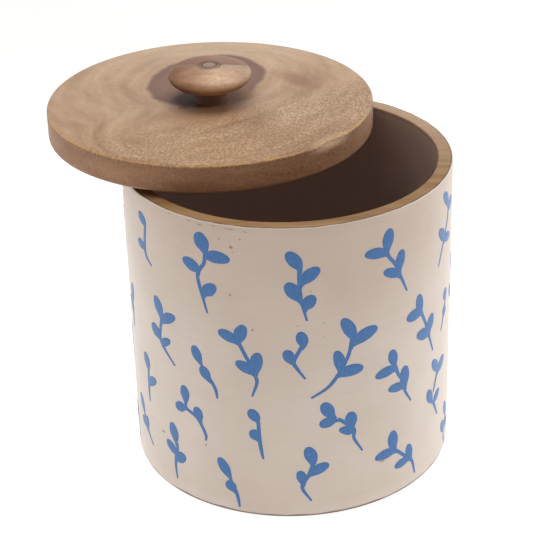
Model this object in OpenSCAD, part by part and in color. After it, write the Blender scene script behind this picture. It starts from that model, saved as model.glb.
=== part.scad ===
// Round turned-wood canister with a painted outside and a loose wooden lid.
// The origin is the middle of the underside, +Z is up and -Y is the front. Millimetres.
// The lid is drawn pushed aside, with its locating step resting on the rim.

/* [Canister] */
// Outside diameter, over the paint
outer_d = 127; // [90:1:200]
// Height from the underside to the rim
canister_h = 124; // [60:1:220]
// Thickness of the wooden wall with its paint
wall_t = 5.7; // [4:0.1:12]
// Thickness of the wooden bottom
floor_t = 8; // [4:0.5:16]
// Rounding between the inner wall and the bottom
inner_fillet = 3; // [1:0.5:8]
// Rounding of the two edges of the rim
rim_ease = 0.6; // [0.2:0.1:1.5]
// Rounding of the outer edge of the underside
foot_ease = 1; // [0.4:0.1:3]

/* [Paint] */
// Thickness of the paint on the outside wall
paint_t = 0.25; // [0.1:0.05:0.6]
// Width of bare wood between the foot's rounding and the paint
bare_foot = 0.4; // [0:0.1:4]

/* [Lid] */
// How far the closed lid's edge is set in from the canister's outside, or proud of it if negative
lid_inset = -0.5; // [-2:0.05:2]
// Thickness of the lid above its step
lid_t = 11.3; // [7:0.1:20]
// Rounding of the lid's two outer edges
lid_ease = 1.2; // [0.4:0.1:3]
// Depth of the locating step that drops into the mouth
step_h = 2.2; // [1.5:0.1:8]
// Gap all round between the step and the mouth when the lid is closed
step_gap = 1; // [0.4:0.1:3]
// Rounding of the step's lower edge
step_ease = 0.5; // [0.2:0.1:1.2]

/* [Lid at rest] */
// How far the lid's middle is from the canister's axis, enough for the lid to rest on its step
lid_aside = 39.4; // [12:0.1:50]
// Direction in which the lid is pushed aside, counted from +X
lid_bearing = 138.9; // [0:0.1:360]

/* [Knob] */
// Diameter of the knob's cap
knob_d = 32.4; // [24:0.2:50]
// Height of the knob above the lid
knob_h = 14.4; // [13:0.2:30]
// Height of the cap's widest ring above the lid
cap_wide_h = 10.2; // [8:0.1:12]
// Height of the lowest point that the cap's underside curves towards, above the lid
cap_low_h = 4.2; // [3:0.1:7]
// Squareness of the cap's dome, from 1 for an oval to 0.6 for a flat top with a round edge
dome_power = 0.75; // [0.6:0.05:1]
// Diameter of the neck
neck_d = 12.5; // [12:0.5:22]
// Radius of the hollow curve at the neck's foot
neck_flare = 0.5; // [0.5:0.1:2.5]
// How far the knob is fitted off the lid's middle, to the right
knob_off_x = 0.4; // [-2:0.1:2]
// How far the knob is fitted off the lid's middle, to the back
knob_off_y = -0.8; // [-2:0.1:2]

/* [Dowel] */
// Diameter of the dowel that joins the knob to the lid
dowel_d = 6; // [4:0.5:10]
// Depth that the dowel goes into the lid
dowel_depth = 8; // [4:0.5:9]
// Room for glue all round the dowel
glue_gap = 0.05; // [0.02:0.01:0.2]

/* [Hidden] */

$fn = 96;
wood_r = outer_d / 2 - paint_t;
mouth_r = outer_d / 2 - wall_t;
step_r = mouth_r - step_gap;
lid_r = outer_d / 2 - lid_inset;
knob_r = knob_d / 2;
neck_r = neck_d / 2;
hole_r = dowel_d / 2 + glue_gap;
paint_low = foot_ease + bare_foot;
paint_high = canister_h - rim_ease;
lid_place = [lid_aside * cos(lid_bearing), lid_aside * sin(lid_bearing), canister_h];
lid_top = step_h + lid_t;
knob_place = lid_place + [knob_off_x, knob_off_y, lid_top];
arc_steps = 10;
cut = 1;

wood = "burlywood";
dark_wood = "peru";
paint = "linen";

// Points on an arc about [x, y], from angle a to angle b.
function arc(x, y, r, a, b, steps = arc_steps) =
    [for (i = [0 : steps]) let (t = a + (b - a) * i / steps) [x + r * cos(t), y + r * sin(t)]];

// Height at which the oval underside of the knob's cap has the radius r.
function cap_under(r) =
    cap_wide_h - (cap_wide_h - cap_low_h) * sqrt(1 - pow(r / knob_r, 2));

// Half the section of the wooden vessel, from the middle of its underside.
function vessel_outline() = concat(
    [[0, 0]],
    arc(wood_r - foot_ease, foot_ease, foot_ease, -90, 0),
    arc(wood_r - rim_ease, canister_h - rim_ease, rim_ease, 0, 90),
    arc(mouth_r + rim_ease, canister_h - rim_ease, rim_ease, 90, 180),
    arc(mouth_r - inner_fillet, floor_t + inner_fillet, inner_fillet, 0, -90),
    [[0, floor_t]]);

// Half the section of the lid, from the middle of its step's underside.
function lid_outline() = concat(
    [[0, 0]],
    arc(step_r - step_ease, step_ease, step_ease, -90, 0),
    [[step_r, step_h]],
    arc(lid_r - lid_ease, step_h + lid_ease, lid_ease, -90, 0),
    arc(lid_r - lid_ease, lid_top - lid_ease, lid_ease, 0, 90),
    [[0, lid_top]]);

// Half the section of the knob: a flared neck, an oval underside and a squarish dome.
function knob_outline() = concat(
    [[0, 0]],
    arc(neck_r + neck_flare, neck_flare, neck_flare, 270, 180),
    [for (i = [0 : 2 * arc_steps])
        let (r = neck_r + (knob_r - neck_r) * sin(90 * i / (2 * arc_steps))) [r, cap_under(r)]],
    [for (i = [1 : 2 * arc_steps - 1])
        let (t = 90 * i / (2 * arc_steps))
        [knob_r * pow(cos(t), dome_power), cap_wide_h + (knob_h - cap_wide_h) * pow(sin(t), dome_power)]],
    [[0, knob_h]]);

module turned(outline) {
    rotate_extrude() polygon(outline);
}

module canister_body() {
    color(wood) turned(vessel_outline());
}

module paint_coat() {
    color(paint) difference() {
        translate([0, 0, paint_low]) cylinder(r = outer_d / 2, h = paint_high - paint_low);
        translate([0, 0, paint_low - cut]) cylinder(r = wood_r, h = paint_high - paint_low + 2 * cut);
    }
}

module lid() {
    color(wood) difference() {
        translate(lid_place) turned(lid_outline());
        translate(knob_place - [0, 0, dowel_depth]) cylinder(r = hole_r, h = dowel_depth + cut);
    }
}

module knob() {
    color(dark_wood) translate(knob_place) difference() {
        turned(knob_outline());
        translate([0, 0, -cut]) cylinder(r = hole_r, h = knob_h + 2 * cut);
    }
}

// The dowel's top end is cut flush with the knob's dome.
module knob_dowel() {
    color(wood) translate(knob_place) intersection() {
        translate([0, 0, -dowel_depth]) cylinder(d = dowel_d, h = dowel_depth + knob_h);
        union() {
            translate([0, 0, -dowel_depth]) cylinder(r = neck_r, h = dowel_depth + cap_low_h);
            turned(knob_outline());
        }
    }
}

canister_body();
paint_coat();
lid();
knob();
knob_dowel();
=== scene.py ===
"""Looks of a painted wooden canister whose lid lies ajar on its rim. Metres, +Z up, -Y is the front."""

import math
import random

import bmesh
import bpy
from mathutils import Matrix, Vector, noise


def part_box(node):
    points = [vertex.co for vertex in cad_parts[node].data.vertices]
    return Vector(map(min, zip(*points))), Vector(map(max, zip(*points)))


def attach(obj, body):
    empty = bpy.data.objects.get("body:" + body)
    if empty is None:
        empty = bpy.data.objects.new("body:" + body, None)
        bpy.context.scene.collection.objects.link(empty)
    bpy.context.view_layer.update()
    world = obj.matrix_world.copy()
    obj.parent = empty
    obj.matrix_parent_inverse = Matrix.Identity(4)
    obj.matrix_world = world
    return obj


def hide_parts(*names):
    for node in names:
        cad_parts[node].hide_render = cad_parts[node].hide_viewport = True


MM = 0.001

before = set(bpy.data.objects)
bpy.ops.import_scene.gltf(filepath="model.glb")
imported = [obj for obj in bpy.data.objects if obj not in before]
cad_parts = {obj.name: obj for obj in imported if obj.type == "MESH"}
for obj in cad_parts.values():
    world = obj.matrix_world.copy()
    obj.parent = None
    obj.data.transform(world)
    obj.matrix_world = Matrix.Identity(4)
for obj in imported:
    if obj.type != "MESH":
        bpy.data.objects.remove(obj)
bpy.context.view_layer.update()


# ---------------------------------------------------------------- sizes, from the frame

def centre_of(node):
    """The middle of a node's box, as seen from above, and the height of its underside."""
    low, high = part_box(node)
    return Vector(((low.x + high.x) / 2, (low.y + high.y) / 2, low.z))


def radii(node, low, high):
    """How near the axis and how far from it a node has corners, between two heights over its foot."""
    middle = centre_of(node)
    found = [
        (v.co - middle).to_2d().length
        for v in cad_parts[node].data.vertices
        if low <= v.co.z - middle.z <= high
    ]
    return min(found), max(found)


def height(node):
    """A node's size along Z."""
    low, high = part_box(node)
    return high.z - low.z


CANISTER_H = height("canister_body")
WOOD_R = radii("canister_body", 0, CANISTER_H)[1]
MOUTH_R = radii("canister_body", CANISTER_H / 2, CANISTER_H)[0]
OUTER_R = radii("paint_coat", 0, CANISTER_H)[1]
PAINT_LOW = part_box("paint_coat")[0].z
FLOOR_T = 8 * MM
INNER_FILLET = 3 * MM
RIM_EASE = 0.6 * MM
FOOT_EASE = 1 * MM

LID = centre_of("lid")
LID_H = height("lid")
LID_R = radii("lid", 0, LID_H)[1]
STEP_H = 2.2 * MM
STEP_R = radii("lid", 0, STEP_H / 2)[1]
LID_EASE = 1.2 * MM
STEP_EASE = 0.5 * MM
# The worn place on the lid's upper edge: its direction and spread in degrees, and its depth.
WORN_AT = -43
WORN_SPREAD = 11
WORN_DEPTH = 1.1 * MM

KNOB = centre_of("knob")
KNOB_H = height("knob")
KNOB_R = radii("knob", 0, KNOB_H)[1]
CAP_WIDE_H = 10.2 * MM
CAP_LOW_H = 4.2 * MM
DOME_POWER = 0.75
NECK_FLARE = 0.5 * MM
# The neck is the knob's narrowest part between its flared foot and its cap.
NECK_R = radii("knob", 0.8 * NECK_FLARE, CAP_LOW_H + 1 * MM)[0]
DOWEL_R = radii("knob_dowel", 0, KNOB_H)[1]

rng = random.Random(7)


# ---------------------------------------------------------------- camera, lights and floor

# The camera: turns in degrees, sensor and lens in millimetres, and its place in outside radii.
CAMERA_YAW = -0.843
CAMERA_PITCH = 27.715
CAMERA_ROLL = 1.705
SENSOR_WIDTH = 36
LENS = 117.74
CAMERA_FRONT = 9.626
CAMERA_UP = 6.252

# The room's light is warm and dim from the front, and pale from the back.
ROOM_FRONT = (0.36, 0.29, 0.24, 1)
ROOM_BACK = (0.8, 0.8, 0.8, 1)
ROOM_STRENGTH = 0.8

# Each softbox's place, its two sizes and its watts.
SOFTBOXES = {
    "softbox_left": ((-1.0, 0.35, 0.45), (0.9, 0.9), 1.5),
    "softbox_right": ((1.0, 0.35, 0.45), (0.9, 0.9), 3.8),
    "softbox_top": ((0.0, 0.1, 1.3), (1.2, 0.8), 9),
}

# The floor glows evenly, and a little more in a round pool of this radius in millimetres.
GROUND_HALF = 8
GROUND_GLOW = 0.45
POOL_GLOW = 0.4
POOL_R = 300


def look_camera():
    """The camera, in front of the canister and above it."""
    yaw, pitch, roll = (math.radians(a) for a in (CAMERA_YAW, CAMERA_PITCH, CAMERA_ROLL))
    data = bpy.data.cameras.new("camera")
    data.sensor_width = SENSOR_WIDTH
    data.lens = LENS
    camera = bpy.data.objects.new("camera", data)
    camera.matrix_world = (
        Matrix.Translation((0, -CAMERA_FRONT * OUTER_R, CAMERA_UP * OUTER_R))
        @ Matrix.Rotation(-yaw, 4, "Z")
        @ Matrix.Rotation(math.radians(90) - pitch, 4, "X")
        @ Matrix.Rotation(-roll, 4, "Z")
    )
    bpy.context.scene.collection.objects.link(camera)
    bpy.context.scene.camera = camera


def softbox(name, place, size, watts, aim):
    """A lamp that lights the piece and isn't seen by the camera."""
    data = bpy.data.lights.new(name, "AREA")
    data.shape = "RECTANGLE"
    data.size, data.size_y = size
    data.energy = watts
    light = bpy.data.objects.new(name, data)
    light.location = place
    light.rotation_euler = (Vector(aim) - Vector(place)).to_track_quat("-Z", "Y").to_euler()
    light.visible_camera = False
    bpy.context.scene.collection.objects.link(light)


def studio():
    """The room's light, the softboxes and plain colours."""
    world = bpy.data.worlds.new("studio")
    bpy.context.scene.world = world
    world.use_nodes = True
    tree = world.node_tree
    back = tree.nodes["Background"]
    where = tree.nodes.new("ShaderNodeTexCoord")
    split = tree.nodes.new("ShaderNodeSeparateXYZ")
    level = tree.nodes.new("ShaderNodeMapRange")
    ramp = tree.nodes.new("ShaderNodeValToRGB")
    level.inputs["From Min"].default_value = -1
    level.inputs["From Max"].default_value = 1
    stops = ramp.color_ramp.elements
    for stop, position, colour in zip(stops, (0.2, 0.75), (ROOM_FRONT, ROOM_BACK)):
        stop.position = position
        stop.color = colour
    tree.links.new(where.outputs["Generated"], split.inputs[0])
    tree.links.new(split.outputs["Y"], level.inputs["Value"])
    tree.links.new(level.outputs[0], ramp.inputs[0])
    tree.links.new(ramp.outputs[0], back.inputs["Color"])
    back.inputs["Strength"].default_value = ROOM_STRENGTH
    for name, (place, size, watts) in SOFTBOXES.items():
        softbox(name, place, size, watts, aim=(0, 0, CANISTER_H / 2))
    bpy.context.scene.view_settings.view_transform = "Standard"


def white_floor():
    """A plain pale floor, a little under the canister's foot."""
    below = 0.1 * MM
    bm = bmesh.new()
    bmesh.ops.create_grid(bm, x_segments=8, y_segments=8, size=GROUND_HALF)
    bmesh.ops.translate(bm, verts=bm.verts, vec=(0, 0, -below))
    floor = finish_mesh("floor", bm)
    shade = Shades("floor_white")
    shade.set(roughness=0.8, specular=0.2)
    p = shade.place((0, 0, 0))
    grey = shade.noise(p, 0.01, detail=3)
    shade.colour(shade.ramp(grey, [(0.3, (200, 200, 200)), (0.7, (206, 206, 206))]))
    pool = shade.oval(p, (0, 0), (POOL_R, POOL_R), 0, 0.6)
    glow = shade.maths("ADD", shade.times(pool, POOL_GLOW), GROUND_GLOW)
    shade.shader.inputs["Emission Color"].default_value = (1, 0.98, 0.96, 1)
    shade.tree.links.new(glow, shade.shader.inputs["Emission Strength"])
    floor.data.materials.append(shade.material)


# ---------------------------------------------------------------- mesh tools

def finish_mesh(name, bm, sharp=None):
    """An object from a bmesh, shaded smooth but for edges sharper than an angle in degrees."""
    bmesh.ops.recalc_face_normals(bm, faces=bm.faces)
    mesh = bpy.data.meshes.new(name)
    bm.to_mesh(mesh)
    bm.free()
    mesh.polygons.foreach_set("use_smooth", [True] * len(mesh.polygons))
    if sharp:
        mesh.set_sharp_from_angle(angle=math.radians(sharp))
    thing = bpy.data.objects.new(name, mesh)
    bpy.context.scene.collection.objects.link(thing)
    return thing


def arc(x, y, r, start, end, steps=8):
    """Points on an arc about (x, y), from one angle to another, in degrees."""
    turns = [math.radians(start + (end - start) * i / steps) for i in range(steps + 1)]
    return [(x + r * math.cos(t), y + r * math.sin(t)) for t in turns]


def points_between(a, b, steps):
    """Points that divide the straight line from a to b, without its two ends."""
    return [
        (a[0] + (b[0] - a[0]) * i / steps, a[1] + (b[1] - a[1]) * i / steps)
        for i in range(1, steps)
    ]


def lathe(name, outline, foot, segments=256, shape=None, closed=False):
    """A lathe-turned piece, from (radius, height) points over the middle of its foot.

    The shape function may move each point by its angle. A closed outline joins its two ends.
    """
    sharp = 50
    bm = bmesh.new()
    rings = []
    for r, z in outline:
        count = segments if r > 0 else 1
        ring = []
        for i in range(count):
            angle = 2 * math.pi * i / segments
            rr, zz = shape(angle, r, z) if shape and count > 1 else (r, z)
            ring.append(bm.verts.new(foot + Vector((rr * math.cos(angle), rr * math.sin(angle), zz))))
        rings.append(ring)
    pairs = list(zip(rings, rings[1:] + rings[:1])) if closed else list(zip(rings, rings[1:]))
    for a, b in pairs:
        for i in range(segments):
            j = (i + 1) % segments
            corners = [a[i % len(a)], a[j % len(a)], b[j % len(b)], b[i % len(b)]]
            bm.faces.new(list(dict.fromkeys(corners)))
    return finish_mesh(name, bm, sharp)


def waver(angle, seed, amount, ripples):
    """A small smooth number that varies round a turned piece, faster with more ripples."""
    spot = Vector((ripples * math.cos(angle), ripples * math.sin(angle), seed))
    return amount * noise.noise(spot)


def nearness(angle, middle, spread):
    """1 at an angle in degrees, falling smoothly to 0 within the spread, in degrees."""
    off = abs((math.degrees(angle) - middle + 180) % 360 - 180) / spread
    return math.cos(min(off, 1) * math.pi / 2) ** 2


# ---------------------------------------------------------------- material tools

def linear(colour):
    """An (r, g, b) colour of 0 to 255 as Blender's linear RGBA."""
    def one(c):
        c = c / 255
        return c / 12.92 if c <= 0.04045 else ((c + 0.055) / 1.055) ** 2.4
    return (*[one(c) for c in colour], 1)


class Shades:
    """A node material under way. Most methods add nodes and return the last one's output."""

    def __init__(self, name):
        self.material = bpy.data.materials.new(name)
        self.material.use_nodes = True
        self.tree = self.material.node_tree
        self.shader = self.tree.nodes["Principled BSDF"]

    def set(self, roughness, specular, coat=0.0, coat_roughness=0.3):
        self.shader.inputs["Roughness"].default_value = roughness
        self.shader.inputs["Specular IOR Level"].default_value = specular
        self.shader.inputs["Coat Weight"].default_value = coat
        self.shader.inputs["Coat Roughness"].default_value = coat_roughness

    def feed(self, socket, value):
        """Links a node's output to the socket, or gives the socket a value of its own."""
        if isinstance(value, bpy.types.NodeSocket):
            self.tree.links.new(value, socket)
        else:
            socket.default_value = value

    def add(self, kind, inputs=(), **settings):
        """A new node itself, with its settings, and with values or outputs in its inputs."""
        node = self.tree.nodes.new(kind)
        for key, value in settings.items():
            setattr(node, key, value)
        for key, value in dict(inputs).items():
            self.feed(node.inputs[key], value)
        return node

    def place(self, origin):
        """Object coordinates in millimetres from an origin."""
        where = self.add("ShaderNodeTexCoord").outputs["Object"]
        return self.stretch(self.vectors("SUBTRACT", where, origin), (1 / MM, 1 / MM, 1 / MM))

    def vectors(self, operation, a, b):
        """Two vectors, or a vector and three numbers, put together by a vector operation."""
        return self.add("ShaderNodeVectorMath", {0: a, 1: b}, operation=operation).outputs[0]

    def stretch(self, vector, scale):
        return self.vectors("MULTIPLY", vector, scale)

    def noise(self, vector, scale, detail=2.0, rough=0.5, colour=False):
        node = self.add(
            "ShaderNodeTexNoise",
            {"Vector": vector, "Scale": scale, "Detail": detail, "Roughness": rough},
        )
        return node.outputs["Color" if colour else "Fac"]

    def wobble(self, vector, scale, amount):
        """The vector, pushed by a soft noise up to half the amount in millimetres each way."""
        push = self.vectors("SUBTRACT", self.noise(vector, scale, colour=True), (0.5, 0.5, 0.5))
        return self.vectors("ADD", vector, self.stretch(push, (amount, amount, amount)))

    def maths(self, operation, a, b):
        return self.add("ShaderNodeMath", {0: a, 1: b}, operation=operation).outputs[0]

    def times(self, a, b):
        return self.maths("MULTIPLY", a, b)

    def outside(self, mask):
        """1 where the mask is 0, and 0 where it is 1."""
        return self.maths("SUBTRACT", 1, mask)

    def step(self, value, low, high, to_low=0.0, to_high=1.0):
        """A smooth step of the value from low to high."""
        return self.add(
            "ShaderNodeMapRange",
            {"Value": value, "From Min": low, "From Max": high, "To Min": to_low, "To Max": to_high},
            interpolation_type="SMOOTHSTEP",
        ).outputs[0]

    def oval(self, vector, middle, halves, turn=0.0, soft=0.3):
        """1 inside an upright oval cylinder, falling to 0 across its soft edge."""
        endless = 1e6
        node = self.add(
            "ShaderNodeMapping",
            {
                "Vector": vector,
                "Location": (*middle, 0),
                "Rotation": (0, 0, math.radians(turn)),
                "Scale": (*halves, endless),
            },
            vector_type="TEXTURE",
        )
        size = self.add("ShaderNodeVectorMath", {0: node.outputs[0]}, operation="LENGTH")
        return self.step(size.outputs["Value"], 1 + soft, 1 - soft)

    def turned(self, vector, turn):
        """The vector turned about Z, in degrees."""
        angle = math.radians(turn)
        inputs = {"Vector": vector, "Angle": angle}
        return self.add("ShaderNodeVectorRotate", inputs, rotation_type="Z_AXIS").outputs[0]

    def distance(self, vector, middle):
        """The distance from an upright line through the middle."""
        flat = self.stretch(vector, (1, 1, 0))
        node = self.add("ShaderNodeVectorMath", {0: flat, 1: (*middle, 0)}, operation="DISTANCE")
        return node.outputs["Value"]

    def blend(self, share, a, b):
        """The number a, going to b as the share goes to 1."""
        node = self.add("ShaderNodeMix", data_type="FLOAT")
        for socket, value in ((node.inputs[0], share), (node.inputs[2], a), (node.inputs[3], b)):
            self.feed(socket, value)
        return node.outputs[0]

    def grain(self, across, vector, scale, drift):
        """Noise that changes fast across the grain and slowly along it."""
        x, y, z = self.split(self.stretch(vector, (drift, drift, drift)))
        return self.noise(self.join(across, x, self.maths("ADD", y, z)), scale, 3, 0.6)

    def split(self, vector):
        return self.add("ShaderNodeSeparateXYZ", {0: vector}).outputs

    def join(self, x, y, z):
        return self.add("ShaderNodeCombineXYZ", {0: x, 1: y, 2: z}).outputs[0]

    def ramp(self, value, stops):
        """A colour that goes through (value, colour) stops."""
        node = self.add("ShaderNodeValToRGB", {0: value})
        bar = node.color_ramp.elements
        while len(bar) < len(stops):
            bar.new(0.5)
        for stop, (position, colour) in zip(bar, stops):
            stop.position = position
            stop.color = linear(colour)
        return node.outputs[0]

    def mix(self, share, a, b, mode="MIX"):
        """The colour a, going to b as the share goes to 1. Colours may be (r, g, b) of 0 to 255."""
        node = self.add("ShaderNodeMix", data_type="RGBA", blend_type=mode)
        for socket, value in ((node.inputs[0], share), (node.inputs[6], a), (node.inputs[7], b)):
            self.feed(socket, linear(value) if isinstance(value, tuple) else value)
        return node.outputs[2]

    def tint(self, colour, mask, share, other):
        """The colour, going a share of the way to another where the mask is 1."""
        return self.mix(self.times(mask, share), colour, other)

    def filtered(self, colour, mask, tone):
        """The colour, seen through a tone where the mask is 1."""
        return self.mix(mask, colour, self.mix(1.0, colour, tone, "MULTIPLY"))

    def shade_by(self, colour, value, low, high):
        """Multiplies a colour by a grey from low to high as the value goes from 0 to 1."""
        grey = self.maths("MULTIPLY_ADD", value, high - low)
        grey.node.inputs[2].default_value = low
        return self.mix(1.0, colour, grey, "MULTIPLY")

    def colour(self, value):
        self.tree.links.new(value, self.shader.inputs["Base Color"])

    def rough(self, value, low, high):
        """Roughness from low to high as the value goes from 0 to 1."""
        span = self.step(value, 0, 1, low, high)
        self.tree.links.new(span, self.shader.inputs["Roughness"])

    def bump(self, value, depth, strength=1.0):
        """Relief of a depth in millimetres."""
        node = self.add("ShaderNodeBump", {"Height": value, "Strength": strength, "Distance": depth * MM})
        self.tree.links.new(node.outputs[0], self.shader.inputs["Normal"])


# ---------------------------------------------------------------- wood

# The knot in the lid, in millimetres from the lid's middle.
KNOT = (-2, 20)


def lid_grain(shade, p, soft, side):
    """Growth rings about a knot, straight grain at the front left, and level grain on the side."""
    x, y, z = shade.split(soft)
    from_knot = shade.distance(soft, KNOT)
    slanted = shade.maths("SUBTRACT", shade.times(x, 0.4), y)
    straight = shade.oval(p, (-5, -45), (34, 30), 0, 0.5)
    across = shade.blend(straight, from_knot, slanted)
    level = shade.maths("ADD", shade.times(z, 1.1), shade.times(x, 0.06))
    across = shade.blend(side, across, level)
    bands = shade.grain(across, p, 0.11, 0.3)
    streaks = shade.grain(across, p, 0.35, 0.3)
    colour = shade.ramp(bands, [(0.3, (160, 129, 102)), (0.5, (178, 147, 119)), (0.7, (191, 162, 135))])
    # Painted light: paler towards the back of the lid. Painted shade: a little darker and warmer towards
    # the front.
    colour = shade.tint(colour, shade.step(y, 15, 62), 0.6, (200, 176, 150))
    colour = shade.filtered(colour, shade.step(y, -5, -50), (248, 242, 230))
    return shade.shade_by(colour, shade.step(streaks, 0.3, 0.7), 0.955, 1.035)


def lid_marks(shade, p, soft, colour):
    """The darker heart about the knot, and the smears, the vein and the spot on the lid's top, with a
    painted shadow of the knob's cap about its foot.
    """
    edge = shade.wobble(p, 0.12, 4)
    heart = shade.oval(edge, KNOT, (22, 28), -25, 0.06)
    inner = shade.oval(edge, KNOT, (18.5, 24.5), -25, 0.12)
    outline = shade.times(heart, shade.outside(inner))
    smear = shade.oval(edge, (34, 18), (4, 12), 38, 0.6)
    warm = shade.oval(edge, (0, -15), (16, 11), 0, 0.4)
    vein = shade.oval(edge, (10, -25.5), (11, 1.3), 33, 0.6)
    spot = shade.oval(edge, (-10, -9), (2.2, 1.6), 0, 0.5)
    # Painted shadow of the knob's cap on the lid about the knob's foot, deepest on the left and lighter to
    # the right.
    knob_shadow = shade.oval(shade.wobble(p, 0.2, 2), (1.2, 1.6), (16.5, 10.3), 16, 0.16)
    knob_shadow_tone = shade.mix(shade.step(shade.split(soft)[0], -6, 9), (66, 41, 34), (150, 111, 86))
    colour = shade.tint(colour, heart, 0.9, (126, 93, 80))
    colour = shade.tint(colour, outline, 0.4, (112, 82, 76))
    colour = shade.tint(colour, smear, 0.45, (142, 96, 76))
    colour = shade.tint(colour, warm, 0.35, (164, 118, 82))
    colour = shade.tint(colour, vein, 0.45, (132, 92, 64))
    colour = shade.tint(colour, spot, 0.5, (112, 72, 50))
    return shade.tint(colour, knob_shadow, 0.88, knob_shadow_tone)


def lid_edge(shade, p, soft, side, colour):
    """The side's pores, and on the upper edge a band of painted shade, a broken golden line in front that
    is paler sanded wood with a painted highlight, and the pale worn place.
    """
    depth = shade.split(p)[2]
    pores = shade.step(shade.noise(shade.stretch(p, (0.7, 0.7, 1.2)), 1.0, 2, 0.5), 0.66, 0.72)
    colour = shade.filtered(colour, side, (232, 216, 208))
    colour = shade.shade_by(colour, shade.times(pores, side), 1, 0.68)

    worn_angle = math.radians(WORN_AT)
    worn_place = (LID_R / MM * math.cos(worn_angle), LID_R / MM * math.sin(worn_angle))
    worn = shade.oval(p, worn_place, (10, 4), WORN_AT + 90, 0.4)
    pale = shade.times(worn, shade.step(depth, -4.0, -2.0))
    colour = shade.tint(colour, pale, 0.4, (216, 184, 148))

    broken = shade.step(shade.noise(p, 0.12, 2), 0.28, 0.5)
    in_front = shade.step(shade.split(soft)[1], 10, -30)
    # A broken golden line along the front of the upper edge: paler sanded wood and a painted highlight.
    edge_highlight_and_sanding = shade.times(shade.step(depth, -0.75, -0.55), shade.step(depth, -0.1, -0.25))
    edge_highlight_and_sanding = shade.times(shade.times(edge_highlight_and_sanding, shade.times(broken, in_front)), shade.outside(worn))
    colour = shade.tint(colour, edge_highlight_and_sanding, 0.65, (212, 164, 92))
    # A band of painted shade on the rounded upper edge, below the golden line.
    edge_shade = shade.times(shade.step(depth, -1.7, -1.3), shade.step(depth, -0.7, -0.9))
    return shade.shade_by(colour, edge_shade, 1, 0.75)


def lid_wood():
    """Sanded hardwood, mottled at the front."""
    shade = Shades("lid_wood")
    shade.set(roughness=0.5, specular=0.3)
    p = shade.place(LID + Vector((0, 0, LID_H)))
    soft = shade.wobble(p, 0.02, 4)
    side = shade.step(shade.split(p)[2], -1.0, -1.6)
    fibres = shade.noise(shade.stretch(shade.turned(p, -25), (0.35, 1.6, 1.2)), 1.0, 4, 0.65)
    pebbles = shade.noise(shade.stretch(shade.turned(p, -58), (0.58, 1.25, 1.0)), 1.0, 3, 0.6)
    x, y, _ = shade.split(soft)
    front = shade.step(shade.maths("SUBTRACT", y, shade.times(x, 0.5)), -2, -34)
    front = shade.times(front, shade.blend(side, 1.0, 0.35))
    mottle = shade.blend(front, 0.5, shade.step(pebbles, 0.36, 0.64))

    colour = lid_grain(shade, p, soft, side)
    colour = shade.shade_by(colour, shade.step(fibres, 0.3, 0.7), 0.9, 1.08)
    colour = shade.shade_by(colour, mottle, 0.73, 1.29)
    colour = lid_marks(shade, p, soft, colour)
    colour = lid_edge(shade, p, soft, side, colour)
    shade.colour(colour)
    shade.rough(fibres, 0.42, 0.58)
    shade.bump(shade.maths("ADD", mottle, fibres), 0.2, 0.7)
    return shade.material


def body_wood():
    """The vessel's bare wood: streaked on the rim, painted paler at the back, with a painted shadow of the
    lid on the rim's left, greyed inside and at the foot.
    """
    shade = Shades("body_wood")
    shade.set(roughness=0.55, specular=0.3)
    p = shade.place((0, 0, CANISTER_H))
    soft = shade.wobble(p, 0.04, 5)
    _, y, z = shade.split(p)
    bands = shade.noise(shade.stretch(soft, (0.012, 0.22, 0.01)), 1.0, 3, 0.6)
    streaks = shade.noise(shade.stretch(soft, (0.06, 1.2, 0.03)), 1.0, 3, 0.65)
    fibres = shade.noise(shade.stretch(p, (0.4, 2.4, 0.08)), 1.0, 3, 0.6)
    colour = shade.ramp(bands, [(0.3, (128, 94, 56)), (0.5, (148, 113, 73)), (0.7, (164, 130, 88))])
    # Painted light: the rim paler towards the back.
    colour = shade.tint(colour, shade.step(y, -40, 45), 0.6, (196, 170, 148))
    colour = shade.shade_by(colour, shade.step(streaks, 0.3, 0.7), 0.9, 1.07)
    colour = shade.shade_by(colour, shade.step(fibres, 0.3, 0.7), 0.92, 1.04)
    from_axis = shade.distance(p, (0, 0))
    by_paint = shade.step(from_axis, WOOD_R / MM - 0.8, WOOD_R / MM - 0.5)
    colour = shade.shade_by(colour, by_paint, 1, 0.6)
    # Painted shadow of the overhanging lid on the left of the rim.
    shaded = shade.oval(p, (-60, -14), (15, 27), -15, 0.5)
    colour = shade.shade_by(colour, shaded, 1, 0.55)
    inside = shade.step(z, -0.4, -2.5)
    greyed = shade.shade_by(shade.mix(0.85, colour, (194, 174, 166)), streaks, 0.94, 1.04)
    colour = shade.mix(inside, colour, greyed)
    foot = shade.step(z, 3 - CANISTER_H / MM, 1 - CANISTER_H / MM)
    colour = shade.tint(colour, foot, 0.85, (122, 112, 106))
    shade.colour(colour)
    shade.rough(streaks, 0.45, 0.65)
    shade.bump(fibres, 0.04, 0.4)
    return shade.material


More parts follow.
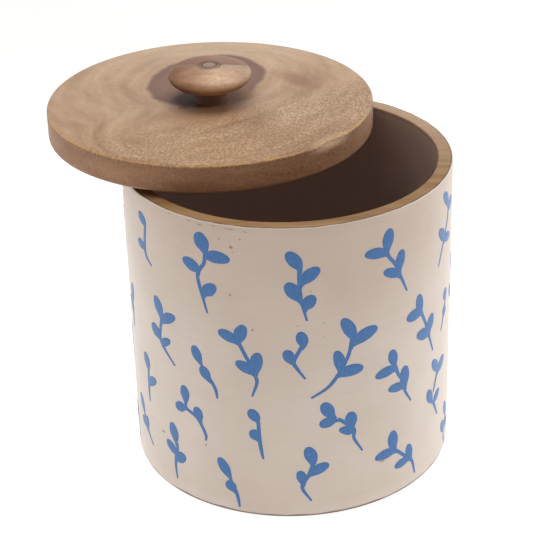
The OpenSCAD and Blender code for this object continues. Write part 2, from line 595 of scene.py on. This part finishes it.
def knob_wood():
    """Warm brown wood with small flecks and a redder back, darkened about the dowel, with painted shade on
    its left, under its cap and on its neck, and a painted highlight at the front.
    """
    shade = Shades("knob_wood")
    shade.set(roughness=0.4, specular=0.28)
    p = shade.place(KNOB + Vector((0, 0, KNOB_H)))
    soft = shade.wobble(p, 0.25, 3.5)
    x, _, z = shade.split(p)
    bands = shade.noise(shade.stretch(soft, (0.07, 0.16, 0.16)), 1.0, 3, 0.55)
    flecks = shade.noise(shade.stretch(shade.turned(p, -40), (0.5, 1.1, 0.9)), 1.0, 3, 0.6)
    colour = shade.ramp(bands, [(0.3, (162, 132, 106)), (0.5, (178, 149, 123)), (0.7, (192, 165, 140))])
    # Painted shade on the knob's left side.
    colour = shade.filtered(colour, shade.step(x, 5, -15), (190, 158, 132))
    # A painted highlight on the front of the dome.
    painted_highlight = shade.oval(p, (3, -14.5), (15, 8), 0, 0.9)
    colour = shade.shade_by(colour, painted_highlight, 0.93, 1.5)
    colour = shade.shade_by(colour, shade.step(flecks, 0.36, 0.64), 0.92, 1.07)
    behind = (1, 13.5)
    back = shade.oval(soft, behind, (22, 12.5), -6, 0.04)
    before = shade.oval(soft, behind, (22, 13.6), -6, 0.04)
    colour = shade.tint(colour, back, 0.65, (128, 84, 64))
    line = shade.times(before, shade.outside(back))
    colour = shade.tint(colour, line, 0.6, (86, 58, 52))
    glue = shade.oval(soft, (0.2, -0.4), (4.9, 4.4), 0, 0.12)
    colour = shade.tint(colour, glue, 0.6, (90, 62, 54))
    # Painted shade below the cap's widest part, and on the neck under the cap a deeper painted shade.
    colour = shade.filtered(colour, shade.step(z, -3.4, -5.8), (184, 164, 148))
    low = shade.step(z, -6.5, -9.0)
    colour = shade.tint(colour, low, 0.95, (118, 90, 78))
    shade.colour(colour)
    shade.rough(shade.step(z, -4.0, -7.0), 0.42, 0.95)
    shade.bump(flecks, 0.08, 0.5)
    return shade.material


def dowel_wood():
    """End grain, with its small rings and a darker edge from the glue."""
    shade = Shades("dowel_wood")
    shade.set(roughness=0.6, specular=0.3)
    p = shade.place(KNOB + Vector((0, 0, KNOB_H)))
    dots = shade.noise(p, 2.2, 3, 0.6)
    colour = shade.ramp(dots, [(0.35, (128, 106, 90)), (0.6, (162, 142, 124))])
    inner = shade.oval(p, (0, 0), (2.5, 2.5), 0, 0.2)
    colour = shade.mix(inner, (104, 76, 66), colour)
    shade.colour(colour)
    shade.rough(dots, 0.5, 0.7)
    shade.bump(dots, 0.04, 0.5)
    return shade.material


# ---------------------------------------------------------------- paint

def wall_paint():
    """Off-white paint with faint level brush lines, a little thinner and darker in places, with painted
    shade towards the top and a paler lip over the rim.
    """
    shade = Shades("wall_paint")
    shade.set(roughness=0.42, specular=0.5, coat=0.3, coat_roughness=0.25)
    p = shade.place((0, 0, 0))
    lines = shade.noise(shade.stretch(p, (0.03, 0.03, 2.2)), 1.0, 3, 0.6)
    clouds = shade.noise(p, 0.035, 3, 0.5)
    colour = shade.ramp(clouds, [(0.3, (205, 191, 179)), (0.7, (213, 201, 190))])
    colour = shade.shade_by(colour, shade.step(lines, 0.3, 0.7), 0.97, 1.02)
    # Painted shade: a little darker towards the top, under the lid.
    top_shade = shade.step(shade.split(p)[2], 60, CANISTER_H / MM)
    colour = shade.filtered(colour, top_shade, (247, 242, 237))
    # Paler paint on the lip over the rim, which is also a painted highlight along that edge.
    thick = shade.step(shade.split(p)[2], CANISTER_H / MM - 0.45, CANISTER_H / MM - 0.35)
    colour = shade.mix(thick, colour, (216, 208, 198))
    shade.colour(colour)
    shade.rough(lines, 0.38, 0.5)
    shade.bump(lines, 0.03, 0.4)
    return shade.material


def sprig_paint():
    """Blue paint brushed on thinly, so that it is a little paler along the brush lines."""
    shade = Shades("sprig_paint")
    shade.set(roughness=0.45, specular=0.45, coat=0.25, coat_roughness=0.25)
    p = shade.place((0, 0, 0))
    strokes = shade.noise(shade.stretch(p, (1.6, 1.6, 0.5)), 1.0, 3, 0.65)
    colour = shade.ramp(strokes, [(0.3, (36, 98, 163)), (0.6, (48, 112, 177)), (0.8, (76, 135, 194))])
    shade.colour(colour)
    shade.rough(strokes, 0.4, 0.55)
    shade.bump(strokes, 0.02, 0.4)
    return shade.material


def scuff_brown():
    """Bare wood and dirt that show where the paint is chipped."""
    shade = Shades("scuff_brown")
    shade.set(roughness=0.7, specular=0.3)
    grain = shade.noise(shade.place((0, 0, 0)), 1.5, 3, 0.6)
    shade.colour(shade.ramp(grain, [(0.35, (140, 108, 86)), (0.65, (186, 154, 128))]))
    shade.rough(grain, 0.6, 0.8)
    shade.bump(grain, 0.03, 0.5)
    return shade.material


# ---------------------------------------------------------------- turned pieces

def vessel():
    """The wooden vessel: its rim is sanded a little unevenly."""
    top = CANISTER_H
    outline = [(0, 0), (WOOD_R / 2, 0), (WOOD_R - 2 * FOOT_EASE, 0)]
    outline += arc(WOOD_R - FOOT_EASE, FOOT_EASE, FOOT_EASE, -90, 0)
    outline += points_between((WOOD_R, FOOT_EASE), (WOOD_R, top - RIM_EASE), 8)
    outline += arc(WOOD_R - RIM_EASE, top - RIM_EASE, RIM_EASE, 0, 90)
    outline += points_between((WOOD_R - RIM_EASE, top), (MOUTH_R + RIM_EASE, top), 5)
    outline += arc(MOUTH_R + RIM_EASE, top - RIM_EASE, RIM_EASE, 90, 180)
    outline += points_between((MOUTH_R, top - RIM_EASE), (MOUTH_R, FLOOR_T + INNER_FILLET), 24)
    outline += arc(MOUTH_R - INNER_FILLET, FLOOR_T + INNER_FILLET, INNER_FILLET, 0, -90)
    outline += points_between((MOUTH_R - INNER_FILLET, FLOOR_T), (0, FLOOR_T), 10)
    outline += [(0, FLOOR_T)]

    def sanded(angle, r, z):
        inside = r < WOOD_R - 2 * RIM_EASE and z > top / 2
        wave = waver(angle, seed=1.5, amount=0.12 * MM, ripples=4) if inside else 0
        rise = waver(angle, seed=4.5, amount=0.08 * MM, ripples=2) if z > top - RIM_EASE else 0
        return r + wave, z + rise

    piece = lathe("vessel", outline, Vector((0, 0, 0)), shape=sanded)
    piece.data.materials.append(body_wood())
    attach(piece, "canister")
    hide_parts("canister_body")


def painted_wall():
    """The paint coat, a shell whose upper edge rolls over the rim's rounding."""
    lip = 0.3 * MM
    thinned = 0.1 * MM
    sunk = 0.05 * MM
    over_rim = 50
    skin = OUTER_R - WOOD_R
    high = CANISTER_H - RIM_EASE
    roll = arc(WOOD_R - RIM_EASE, high, RIM_EASE + skin, 0, over_rim, 5)
    under = arc(WOOD_R - RIM_EASE, high, RIM_EASE - sunk, over_rim, 0, 5)
    outline = [(WOOD_R - sunk, PAINT_LOW), (OUTER_R - thinned, PAINT_LOW), (OUTER_R, PAINT_LOW + lip)]
    outline += points_between((OUTER_R, PAINT_LOW + lip), (OUTER_R, high), 24)
    outline += roll + under

    def brushed(angle, r, z):
        edge = max(0, (z - high) / RIM_EASE)
        foot = 1 if z < PAINT_LOW + lip / 2 else 0
        drop = edge * abs(waver(angle, seed=7.5, amount=0.35 * MM, ripples=9))
        return r, z - drop + foot * waver(angle, seed=2.5, amount=0.4 * MM, ripples=9)

    piece = lathe("painted_wall", outline, Vector((0, 0, 0)), shape=brushed, closed=True)
    piece.data.materials.append(wall_paint())
    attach(piece, "canister")
    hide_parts("paint_coat")


def turned_lid():
    """The lid: a thick disc on a locating step, worn down at one place of its upper edge."""
    shoulder = 0.4 * MM
    worn_reach = 2.5 * MM
    falloff = 0.7
    inward = 0.8
    outline = [(0, 0), (STEP_R / 2, 0), (STEP_R - 2 * STEP_EASE, 0)]
    outline += arc(STEP_R - STEP_EASE, STEP_EASE, STEP_EASE, -90, 0, 5)
    outline += points_between((STEP_R, STEP_EASE), (STEP_R, STEP_H), 3)
    outline += [(STEP_R, STEP_H), (STEP_R + shoulder, STEP_H)]
    outline += arc(LID_R - LID_EASE, STEP_H + LID_EASE, LID_EASE, -90, 0)
    outline += points_between((LID_R, STEP_H + LID_EASE), (LID_R, LID_H - LID_EASE), 6)
    outline += arc(LID_R - LID_EASE, LID_H - LID_EASE, LID_EASE, 0, 90, 10)
    outline += points_between((LID_R - LID_EASE, LID_H), (0, LID_H), 24)
    outline += [(0, LID_H)]

    def worn(angle, r, z):
        if z < STEP_H + LID_EASE:
            return r, z
        edge = max(0, 1 - math.hypot((LID_R - r) / worn_reach, (LID_H - z) / worn_reach))
        cut = WORN_DEPTH * nearness(angle, WORN_AT, WORN_SPREAD) * edge ** falloff
        wave = waver(angle, seed=6.5, amount=0.1 * MM, ripples=2)
        sand = waver(angle, seed=3.5, amount=0.12 * MM, ripples=3) if z > LID_H - LID_EASE else 0
        return r - cut * inward + wave, z - cut + min(0, sand)

    piece = lathe("turned_lid", outline, LID, shape=worn)
    piece.data.materials.append(lid_wood())
    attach(piece, "lid")
    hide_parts("lid")


def knob_outline():
    """Half the knob's section: a flared neck, an oval underside and a squarish dome."""
    cap_steps = 20
    dome_steps = 30
    outline = [(DOWEL_R, 0)]
    outline += arc(NECK_R + NECK_FLARE, NECK_FLARE, NECK_FLARE, 270, 180)
    for i in range(cap_steps + 1):
        r = NECK_R + (KNOB_R - NECK_R) * math.sin(math.pi / 2 * i / cap_steps)
        drop = math.sqrt(max(0, 1 - (r / KNOB_R) ** 2))
        outline.append((r, CAP_WIDE_H - (CAP_WIDE_H - CAP_LOW_H) * drop))
    for i in range(1, dome_steps):
        t = math.pi / 2 * i / dome_steps
        r = KNOB_R * math.cos(t) ** DOME_POWER
        if r > DOWEL_R:
            outline.append((r, CAP_WIDE_H + (KNOB_H - CAP_WIDE_H) * math.sin(t) ** DOME_POWER))
    return outline


def dome_height(r):
    """Height of the knob's dome over its foot, at a radius."""
    t = math.acos((r / KNOB_R) ** (1 / DOME_POWER))
    return CAP_WIDE_H + (KNOB_H - CAP_WIDE_H) * math.sin(t) ** DOME_POWER


def turned_knob():
    """The knob, with a hole through it for the dowel, and very slightly out of round."""
    outline = knob_outline()
    outline += [(DOWEL_R, dome_height(DOWEL_R))]

    def sanded(angle, r, z):
        wave = waver(angle, seed=8.5, amount=0.1 * MM, ripples=1.5) if r > 2 * DOWEL_R else 0
        return r + wave, z

    piece = lathe("turned_knob", outline, KNOB, segments=160, shape=sanded, closed=True)
    piece.data.materials.append(knob_wood())
    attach(piece, "lid")
    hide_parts("knob")


def dowel():
    """The dowel: its lower end is in the lid, and its upper end follows the knob's dome."""
    foot = centre_of("knob_dowel")
    depth = KNOB.z - foot.z
    glue_gap = 0.05 * MM
    chamfer = 0.4 * MM
    ease = 0.15 * MM
    radius = DOWEL_R - glue_gap
    outline = [(0, 0), (radius - chamfer, 0), (radius, chamfer)]
    outline += points_between((radius, chamfer), (radius, depth + dome_height(radius) - ease), 12)
    outline += [(r, depth + dome_height(r)) for r in (radius - ease, radius * 0.7, radius * 0.35)]
    outline += [(0, depth + KNOB_H)]
    piece = lathe("dowel", outline, foot, segments=48)
    piece.data.materials.append(dowel_wood())
    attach(piece, "lid")
    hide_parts("knob_dowel")


# ---------------------------------------------------------------- painted sprigs

# Places on the wall are millimetres round it from the front line, and millimetres up.
# A sprig is its stem's points, then its leaves: where each starts, where its tip is, and its width.
# The points follow the real canister's pattern and were set one by one, to half a millimetre.
SPRIGS = [
    ([(-59.5, 97), (-63, 100), (-63.5, 105), (-62.5, 112)],
     [(-62.5, 111.5, -67, 116.5, 4.5), (-64, 101.5, -69, 104, 4)]),
    ([(-31.5, 86.5), (-33, 92), (-35, 100.5), (-34, 104), (-32, 107), (-31.5, 110.5)],
     [(-31.5, 110, -34.5, 119, 6), (-32, 108, -21.5, 110, 5),
      (-34.5, 101.5, -41.5, 106.5, 5), (-32.5, 92.5, -27.5, 98.5, 5)]),
    ([(-48.5, 58.5), (-53.5, 63), (-56, 66), (-56.5, 69), (-55, 76.5)],
     [(-55.5, 75.5, -58.5, 85, 5), (-55.5, 73.5, -47, 80, 4.5),
      (-56, 66, -62, 71.5, 5), (-55, 64, -50.5, 68.5, 3.5)]),
    ([(-29, 50.5), (-29.5, 54), (-31, 57), (-35, 63)],
     [(-35, 63, -38.5, 71, 4.5), (-31.5, 56.5, -35.5, 63, 4.5)]),
    ([(-15, 54), (-13, 60), (-13.5, 63), (-14.5, 66), (-19.5, 76.5)],
     [(-19, 75, -17, 84, 5), (-19, 75, -27.5, 80, 4.5),
      (-13, 62, -12, 73, 5), (-13.5, 62.5, -21, 68, 4.5)]),
    ([(6, 86.5), (4, 95), (3.5, 100), (3.5, 108)],
     [(4, 106, -1, 114.5, 5), (4, 100, 11, 107.5, 5),
      (4, 93.5, -1.5, 102, 5.5), (5.5, 90, 9, 96.5, 5)]),
    ([(5, 62), (1.5, 67.5), (1, 70), (4, 76)],
     [(4, 74.5, 3, 82, 4.5), (1, 68, -2, 74.5, 4.5)]),
    ([(7, 53.5), (13.5, 57.5), (17.5, 62.5), (21.5, 70), (23, 78)],
     [(23.5, 74, 19, 85.5, 5), (22.5, 72, 33.5, 78.5, 5.5),
      (17.5, 61.5, 16.5, 72.5, 4.5), (16, 60.5, 27.5, 63, 5)]),
    ([(47.5, 89), (44.5, 95.5), (41.5, 102), (38.5, 106), (37.5, 109)],
     [(38, 107, 39, 117.5, 5), (38.5, 106, 28, 109.5, 4.5),
      (44, 97.5, 45, 107, 4.5), (44, 95.5, 36, 100.5, 4)]),
    ([(69, 89.5), (73, 96.5), (76, 101), (79, 106), (79.5, 109)],
     [(79.5, 109, 73, 118, 4.5), (79.5, 107.5, 87, 111, 4.5),
      (74, 97, 69, 104.5, 4.5), (74, 97, 83, 96.5, 4)]),
    ([(65.5, 55), (62.5, 62), (59.5, 69.5), (57.5, 73.5), (56.5, 76)],
     [(56.5, 74.5, 54.5, 84.5, 4.5), (57, 74.5, 47.5, 76.5, 5),
      (62.5, 63.5, 64.5, 72, 5), (62.5, 62.5, 53.5, 67, 5)]),
    ([(73, 59.5), (77, 67), (78, 71)],
     [(78, 70, 77, 76, 5), (75.5, 64, 78, 68.5, 4.5)]),
    ([(50.5, 40), (47, 46), (46, 51), (43.5, 54.5), (42, 59)],
     [(42, 58, 40, 66.5, 4.5), (42.5, 56, 32.5, 57, 4.5),
      (47.5, 46, 47, 57, 5), (47, 46.5, 38.5, 49.5, 4)]),
    ([(-68, 33.5), (-68, 41), (-67.5, 48)],
     [(-67.5, 47, -70, 55, 5), (-68, 40, -61.5, 46, 4)]),
    ([(-35, 30), (-35, 33), (-38.5, 39), (-43.5, 41.5), (-44, 44)],
     [(-44, 43, -44.5, 51.5, 4.5), (-43, 41, -49.5, 40, 4.5),
      (-36.5, 37, -38.5, 44, 4.5)]),
    ([(-51, 6), (-51.5, 13), (-50, 20), (-50, 23)],
     [(-50.5, 21.5, -52.5, 31.5, 5), (-51, 16, -56.5, 21.5, 4.5),
      (-51.5, 13.5, -45.5, 18.5, 5)]),
    ([(-67.5, 13), (-73.5, 20), (-75, 24)],
     [(-75, 23, -79, 31.5, 4.5), (-72, 17, -72, 24, 4),
      (-72.5, 18, -78, 21, 4)]),
    ([(-21.5, 3), (-22.5, 9), (-25, 15)],
     [(-24.5, 14.5, -29.5, 24, 4.5), (-23, 9, -26.5, 14, 4.5)]),
    ([(-11.5, 26.5), (-12.5, 33.5), (-13, 43)],
     [(-13, 42, -16.5, 48, 4.5), (-13, 34, -16, 39, 4.5)]),
    ([(27, 26.5), (23.5, 33), (23.5, 37), (19, 41.5), (17, 43)],
     [(16.5, 43.5, 11.5, 51, 5), (17.5, 42, 10, 41, 4.5),
      (23.5, 37, 22.5, 45, 5), (23.5, 34.5, 17.5, 38, 4)]),
    ([(6.5, 7.5), (3, 14), (5.5, 19), (7, 23.5)],
     [(7, 22.5, 5, 32, 5), (5, 18, 13.5, 23.5, 4.5),
      (3.5, 14, 2, 21.5, 4)]),
    ([(66.5, 35.5), (69.5, 42)],
     [(69.5, 42, 65, 50, 4.5), (70, 41.5, 78, 46, 5)]),
    ([(71, 23), (67.5, 29.5), (66, 31.5)],
     [(66.5, 30.5, 62, 38.5, 4.5), (68, 29.5, 72.5, 34, 4)]),
    ([(53.5, 5), (51.5, 12), (47, 16.5), (43, 20.5)],
     [(43, 20.5, 41, 30.5, 5), (43.5, 19.5, 32.5, 20.5, 4.5),
      (51.5, 12, 49.5, 20.5, 4), (50.5, 12.5, 42, 13, 4)]),
    ([(82, 2.5), (80.5, 8), (83, 15)],
     [(80.5, 8, 76, 15, 5), (83, 14, 80.5, 22.5, 4.5),
      (82, 10, 88, 11, 4)]),
    ([(-82, 60), (-82, 70)],
     [(-82, 70, -80.5, 80, 4.5), (-82, 66, -85.5, 73, 4.5)]),
]
# The unseen back repeats the front's middle sprigs: how far round each copy is, and which stems it takes.
COPIES = [148, 259]
COPIED = (-50, 56)

# Half the width of a stem at its foot and how much it widens, in millimetres.
STEM_FOOT = 0.4
STEM_SWELL = 0.35
# How far the strokes stand proud of the wall, in millimetres: stems, first leaves and each leaf on top.
STEM_LIFT = 0.06
LEAF_LIFT = 0.07
LEAF_LAYER = 0.01


def on_wall(x, z, proud):
    """The point of the outside wall x mm round it and z mm up, standing proud of it."""
    angle = x * MM / OUTER_R
    r = OUTER_R + proud
    return Vector((r * math.sin(angle), -r * math.cos(angle), z * MM))


def smooth_line(points, steps=5):
    """A smooth line through the points."""
    points = [Vector(p) for p in points]
    ends = [2 * points[0] - points[1]] + points + [2 * points[-1] - points[-2]]
    line = []
    for a, b, c, d in zip(ends, ends[1:], ends[2:], ends[3:]):
        for i in range(steps):
            t = i / steps
            line.append(
                0.5 * ((2 * b) + (c - a) * t + (2 * a - 5 * b + 4 * c - d) * t ** 2
                       + (3 * b - a - 3 * c + d) * t ** 3)
            )
    return line + [points[-1]]


def brush_stroke(bm, line, halves, lift, columns=2):
    """A thin crowned stroke of paint on the wall, along a line with a half-width at each of its points."""
    sunk = -0.03 * MM
    crown = 0.05 * MM
    tops, unders = [], []
    for i, (spot, half) in enumerate(zip(line, halves)):
        ahead = line[min(i + 1, len(line) - 1)] - line[max(i - 1, 0)]
        side = Vector((-ahead.y, ahead.x)).normalized()
        shares = [2 * k / columns - 1 for k in range(columns + 1)]
        places = [spot + side * half * s for s in shares]
        tops.append([
            bm.verts.new(on_wall(p.x, p.y, lift + crown * (1 - s * s) * min(1, half)))
            for p, s in zip(places, shares)
        ])
        unders.append([bm.verts.new(on_wall(p.x, p.y, sunk)) for p in places])
    for grid in (tops, unders):
        for a, b in zip(grid, grid[1:]):
            for k in range(columns):
                bm.faces.new((a[k], a[k + 1], b[k + 1], b[k]))
    for k in (0, columns):
        for i in range(len(line) - 1):
            bm.faces.new((tops[i][k], tops[i + 1][k], unders[i + 1][k], unders[i][k]))
    for i in (0, len(line) - 1):
        for k in range(columns):
            bm.faces.new((tops[i][k], tops[i][k + 1], unders[i][k + 1], unders[i][k]))


def leaf_half_width(t, width):
    """Half the width of a leaf at the share t of its length: a narrow start and a round tip."""
    start = 0.5
    widest = 0.66
    tip_power = 0.44
    if t < widest:
        rise = t / widest
        return start + (width / 2 - start) * rise * rise * (3 - 2 * rise)
    return width / 2 * (1 - ((t - widest) / (1 - widest)) ** 2) ** tip_power


def painted_leaf(bm, base, tip, width, stem_way, lift):
    """A leaf that leaves its stem along the stem's own direction and bends towards its tip."""
    steps = 16
    columns = 6
    crowding = 1.5
    follow = 0.35
    uneven = 0.02
    thinnest = 0.04
    length = (tip - base).length
    bend = base + stem_way * length * follow
    line, halves = [], []
    for i in range(steps + 1):
        t = 1 - (1 - i / steps) ** crowding
        line.append(base * (1 - t) ** 2 + bend * 2 * t * (1 - t) + tip * t ** 2)
        half = leaf_half_width(t, width) * (1 + rng.uniform(-uneven, uneven))
        halves.append(max(thinnest, half))
    brush_stroke(bm, line, halves, lift, columns)


def painted_sprig(bm, stem, leaves, shift=0):
    """A stem and its leaves, moved round the wall by a shift in millimetres."""
    def put(x, z):
        return Vector((shift + x, z))

    line = smooth_line([put(*p) for p in stem])
    last = len(line) - 1
    halves = [STEM_FOOT + STEM_SWELL * min(1, 3 * i / last) for i in range(last + 1)]
    brush_stroke(bm, line, halves, STEM_LIFT * MM)
    for count, (base_x, base_z, tip_x, tip_z, width) in enumerate(leaves):
        base = put(base_x, base_z)
        near = min(range(last), key=lambda i: (line[i] - base).length)
        way = (line[near + 1] - line[near]).normalized()
        lift = (LEAF_LIFT + LEAF_LAYER * count) * MM
        painted_leaf(bm, base, put(tip_x, tip_z), width, way, lift)


def sprigs():
    """All the sprigs, those of the front and the copies at the back."""
    bm = bmesh.new()
    for stem, leaves in SPRIGS:
        painted_sprig(bm, stem, leaves)
    for shift in COPIES:
        for stem, leaves in SPRIGS:
            if COPIED[0] < stem[0][0] < COPIED[1]:
                painted_sprig(bm, stem, leaves, shift)
    piece = finish_mesh("painted_sprigs", bm, 30)
    piece.data.materials.append(sprig_paint())
    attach(piece, "canister")


# ---------------------------------------------------------------- scuffs in the paint

# Place, width and height of each scuff in the paint, in millimetres.
SCUFFS = [
    (-21, 115.5, 1.6, 1.2), (-25.5, 118, 0.8, 0.6), (-17.5, 119, 0.8, 0.6), (-20.5, 113.5, 0.6, 0.6),
    (-22, 96, 1.0, 1.0), (7.5, 98.5, 0.6, 0.6), (2.5, 84.5, 0.6, 0.6), (12, 85, 0.6, 0.6),
    (-14, 82.5, 0.9, 0.9), (12, 79, 0.6, 0.5), (-35, 28, 1.2, 0.8), (-58.5, 24.5, 2.5, 1),
    (36, 18.5, 2.5, 0.7), (-37.5, 122.8, 2, 0.4), (-33, 122.3, 3, 0.35), (-21, 122.6, 4.5, 0.35),
    (-47, 122.9, 1.5, 0.4), (-27.5, 122.9, 1.5, 0.3), (-15.5, 122.2, 2, 0.3),
]
# Small scuffs at random on the unseen back: how many, and the ranges of their places and sizes.
BACK_SCUFFS = 26
BACK_RANGES = [(95, 305), (20, 121), (0.5, 1.6), (0.4, 1.0)]


def scuff(bm, x, z, width, tall):
    """A small ragged patch, just proud of the paint."""
    corners = 11
    crown = 0.03 * MM
    edge = 0.015 * MM
    sunk = -0.05 * MM
    middle = bm.verts.new(on_wall(x, z, crown))
    under = bm.verts.new(on_wall(x, z, sunk))
    top_ring, low_ring = [], []
    for i in range(corners):
        angle = 2 * math.pi * i / corners
        size = rng.uniform(0.7, 1.1) / 2
        px, pz = x + size * width * math.cos(angle), z + size * tall * math.sin(angle)
        top_ring.append(bm.verts.new(on_wall(px, pz, edge)))
        low_ring.append(bm.verts.new(on_wall(px, pz, sunk)))
    for i in range(corners):
        j = (i + 1) % corners
        bm.faces.new((middle, top_ring[i], top_ring[j]))
        bm.faces.new((under, low_ring[j], low_ring[i]))
        bm.faces.new((top_ring[i], low_ring[i], low_ring[j], top_ring[j]))


def scuffs():
    """The listed scuffs, and the random ones at the back."""
    bm = bmesh.new()
    for place in SCUFFS:
        scuff(bm, *place)
    for _ in range(BACK_SCUFFS):
        scuff(bm, *[rng.uniform(low, high) for low, high in BACK_RANGES])
    piece = finish_mesh("paint_scuffs", bm, 30)
    piece.data.materials.append(scuff_brown())
    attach(piece, "canister")


look_camera()
studio()
white_floor()
vessel()
painted_wall()
turned_lid()
turned_knob()
dowel()
sprigs()
scuffs()
